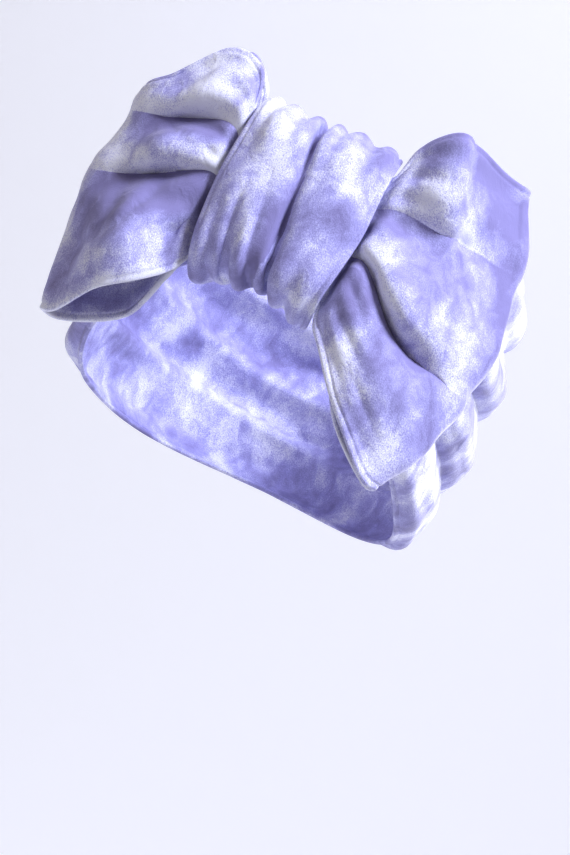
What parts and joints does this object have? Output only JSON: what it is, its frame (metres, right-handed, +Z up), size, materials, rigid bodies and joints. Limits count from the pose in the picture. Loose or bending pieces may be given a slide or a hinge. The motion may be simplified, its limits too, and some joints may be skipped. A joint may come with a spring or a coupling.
{
  "type": "turban headband",
  "caption": "Wide gathered velvet headband that wraps the head from forehead to nape, with a large soft bow held at the front by a ruched centre wrap.",
  "frame": {"origin": "the middle of the head that wears the band, at the mount head_seat", "axes": "+Z up the head towards the crown, -Y the way the bow faces, +X to the right as seen from the front"},
  "size_m": [0.1945, 0.2392, 0.2013],
  "materials": {
    "head_band_velvet": "crushed lavender velvet with a patchy silvery nap",
    "bow_velvet": "crushed lavender velvet with a patchy silvery nap",
    "centre_wrap_velvet": "crushed lavender velvet with a patchy silvery nap"
  },
  "bodies": {
    "root": {"head_band": "head_band_velvet", "bow": "bow_velvet", "centre_wrap": "centre_wrap_velvet"}
  },
  "joints": []
}
